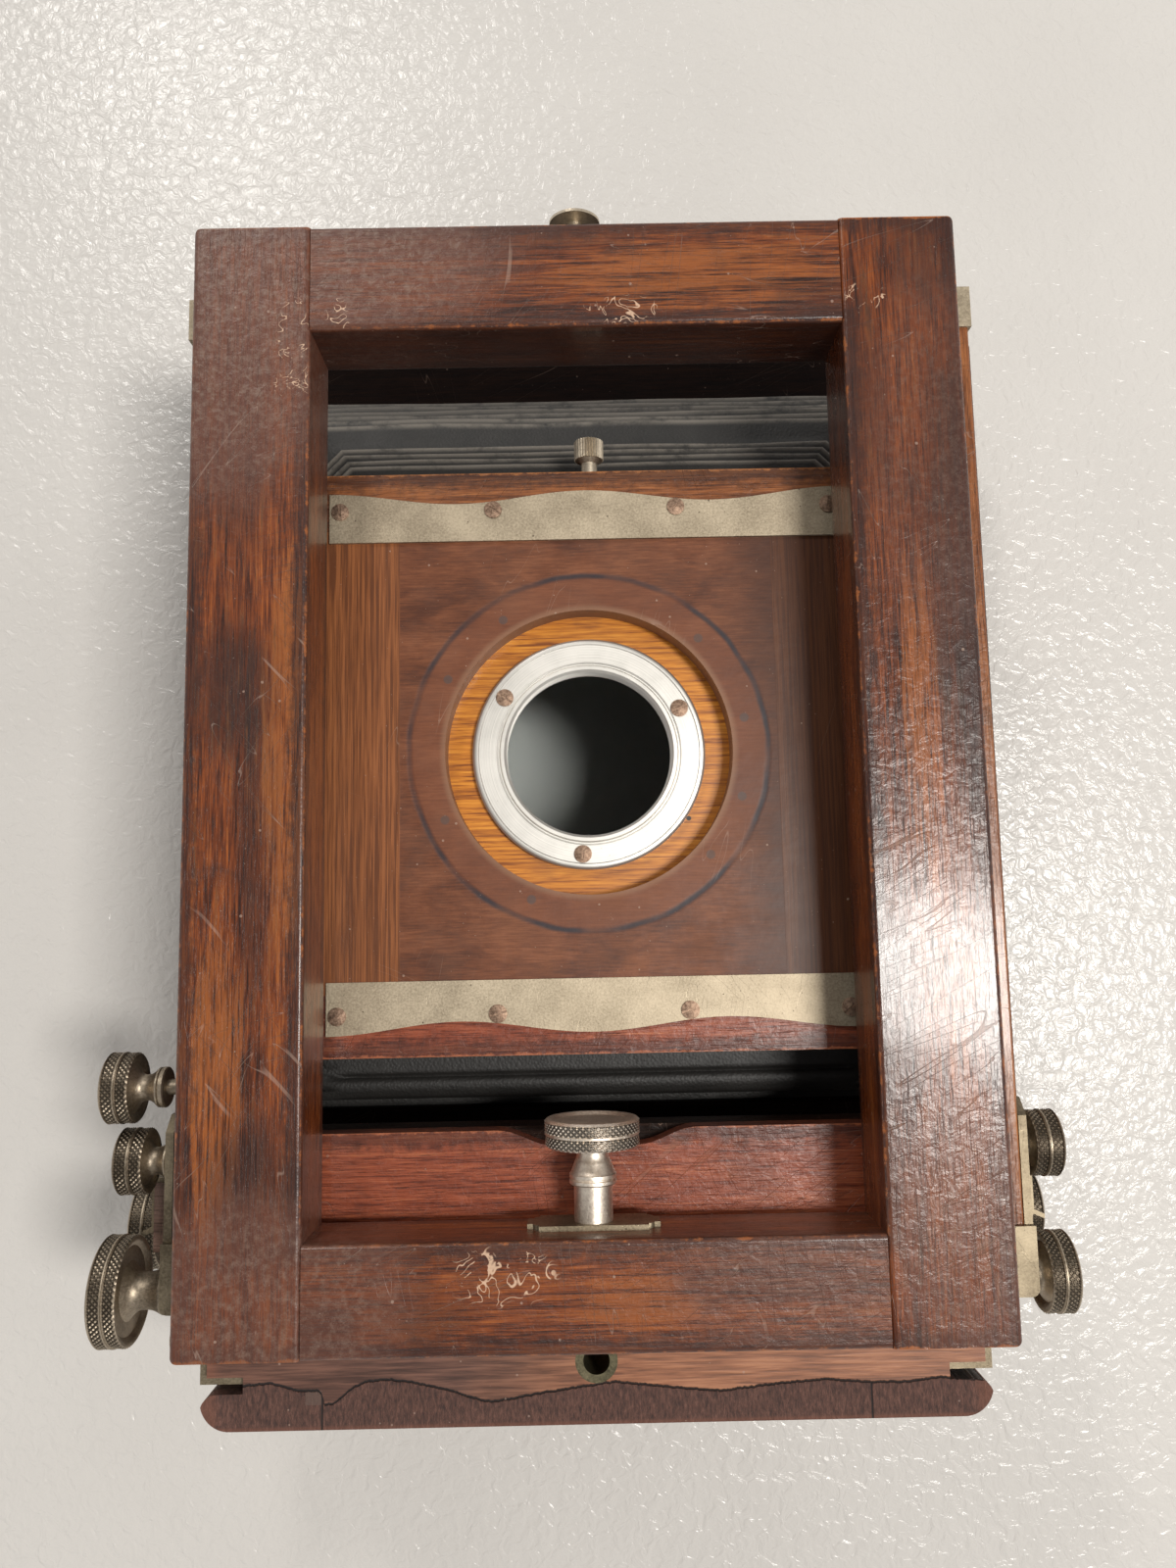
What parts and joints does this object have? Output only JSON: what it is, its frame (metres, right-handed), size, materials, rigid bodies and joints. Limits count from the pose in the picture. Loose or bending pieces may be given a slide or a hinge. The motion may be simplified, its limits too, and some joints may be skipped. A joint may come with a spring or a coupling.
{
  "type": "large format camera",
  "caption": "Folding-bed wooden view camera, folded flat: front bed closed over a rising lens panel, square bellows, rack focusing with knurled knobs and a sprung ground-glass back.",
  "frame": {"origin": "centre of the bounding box in X and Y, on the plane of the ground-glass frame's rear face, which rests on the floor", "axes": "+X to the right and +Y up the camera as seen from the front, +Z out of the lens"},
  "size_m": [0.318, 0.377, 0.16],
  "materials": {
    "mahogany": "worn varnish",
    "red_mahogany": "worn varnish",
    "side_pad_wood": "bare",
    "varnished_wood": "gloss varnish",
    "black_wood": "matt black stain",
    "nickel": "tarnished nickel plate",
    "brass": "aged",
    "copper_screws": "browned",
    "aluminium": "turned",
    "spring_steel": "satin",
    "leather": "pleated",
    "ground_glass": "ground"
  },
  "bodies": {
    "base": {"base_rail_left": "mahogany", "base_rail_right": "mahogany", "base_cross_front": "mahogany", "base_board": "mahogany", "bed_bushing": "brass", "tripod_bushing": "brass", "base_racks": "brass", "rear_racks": "brass", "hinge_leaves_base": "brass", "bellows": "leather"},
    "bed": {"bed_stile_left": "mahogany", "bed_stile_right": "mahogany", "bed_rail_end": "mahogany", "bed_rail_hinge": "mahogany", "bed_racks": "brass", "hinge_leaves_bed": "brass", "screw_plate": "nickel", "bed_stud": "brass"},
    "bed_screw": {"bed_screw": "nickel"},
    "front": {"front_foot": "red_mahogany", "front_sill": "mahogany", "upright_left": "mahogany", "upright_right": "mahogany", "upright_caps": "nickel", "side_plate_left": "nickel", "side_plate_right": "nickel", "front_guides": "nickel"},
    "front_pinion": {"front_pinion_shaft": "nickel", "focus_knob_left": "nickel", "focus_knob_right": "nickel"},
    "rise_clamp": {"rise_clamp_knob": "nickel"},
    "side_clamp_l": {"side_clamp_left": "nickel"},
    "side_clamp_r": {"side_clamp_right": "nickel"},
    "guide_clamp_l": {"guide_clamp_left": "nickel"},
    "guide_clamp_r": {"guide_clamp_right": "nickel"},
    "panel": {"panel_stiles": "mahogany", "panel_rail_top": "mahogany", "panel_rail_bottom": "mahogany", "lens_board": "mahogany", "lens_board_back": "varnished_wood", "lens_flange": "aluminium", "panel_screws": "copper_screws", "strip_top": "nickel", "strip_bottom": "nickel", "bellows_front_frame": "black_wood"},
    "board_lock": {"board_lock_screw": "nickel"},
    "rear": {"rear_sill": "mahogany", "rear_cheeks": "mahogany", "rear_stiles": "mahogany", "rear_rails": "mahogany", "side_pads": "side_pad_wood", "pad_clips": "nickel", "rear_guides": "nickel", "bellows_rear_frame": "black_wood", "back_frame": "mahogany", "leaf_springs": "spring_steel"},
    "rear_pinion": {"rear_pinion_shaft": "nickel", "rear_knobs": "nickel"},
    "glass_back": {"glass_frame": "mahogany", "ground_glass": "ground_glass"}
  },
  "joints": [
    {"name": "bed_fold", "type": "hinge", "parent": "base", "child": "bed", "pos_m": [0, -0.1595, 0.132], "axis": [1, 0, 0], "range_deg": [0, 90]},
    {"name": "bed_screw_spin", "type": "hinge", "parent": "bed", "child": "bed_screw", "pos_m": [0, -0.1195, 0.143], "axis": [0, 1, 0], "continuous": true},
    {"name": "front_focus", "type": "slide", "parent": "base", "child": "front", "axis": [0, 0, 1], "range_m": [0, 0.002], "deforming": ["bellows"]},
    {"name": "front_pinion_spin", "type": "hinge", "parent": "front", "child": "front_pinion", "pos_m": [0, -0.153, 0.112], "axis": [1, 0, 0], "range_deg": [0, 24]},
    {"name": "front_rise", "type": "slide", "parent": "front", "child": "panel", "axis": [0, 1, 0], "range_m": [-0.021, 0.055], "deforming": ["bellows"]},
    {"name": "board_lock_spin", "type": "hinge", "parent": "panel", "child": "board_lock", "pos_m": [0.0035, 0.1185, 0.115], "axis": [0, 1, 0], "continuous": true},
    {"name": "rise_clamp_spin", "type": "hinge", "parent": "front", "child": "rise_clamp", "pos_m": [-0.14, -0.0895, 0.115], "axis": [1, 0, 0], "continuous": true},
    {"name": "side_clamp_left_spin", "type": "hinge", "parent": "front", "child": "side_clamp_l", "pos_m": [-0.14, -0.113, 0.112], "axis": [1, 0, 0], "continuous": true},
    {"name": "side_clamp_right_spin", "type": "hinge", "parent": "front", "child": "side_clamp_r", "pos_m": [0.14, -0.113, 0.112], "axis": [1, 0, 0], "continuous": true},
    {"name": "guide_clamp_left_spin", "type": "hinge", "parent": "front", "child": "guide_clamp_l", "pos_m": [-0.125, -0.1665, 0.115], "axis": [1, 0, 0], "continuous": true},
    {"name": "guide_clamp_right_spin", "type": "hinge", "parent": "front", "child": "guide_clamp_r", "pos_m": [0.125, -0.1665, 0.115], "axis": [1, 0, 0], "continuous": true},
    {"name": "rear_focus", "type": "slide", "parent": "base", "child": "rear", "axis": [0, 0, -1], "range_m": [0, 0.018], "deforming": ["bellows"]},
    {"name": "rear_pinion_spin", "type": "hinge", "parent": "rear", "child": "rear_pinion", "pos_m": [0, -0.1415, 0.072], "axis": [-1, 0, 0], "range_deg": [0, 130]},
    {"name": "back_slide", "type": "slide", "parent": "rear", "child": "glass_back", "axis": [0, 0, -1], "range_m": [0, 0.016], "stiffness_N_per_m": 400, "springref_m": -0.02, "deforming": ["leaf_springs"]}
  ],
  "couplings": [
    {"joint": "front_pinion_spin", "follows": "front_focus", "rad_per_m": 200},
    {"joint": "rear_pinion_spin", "follows": "rear_focus", "rad_per_m": 125}
  ]
}
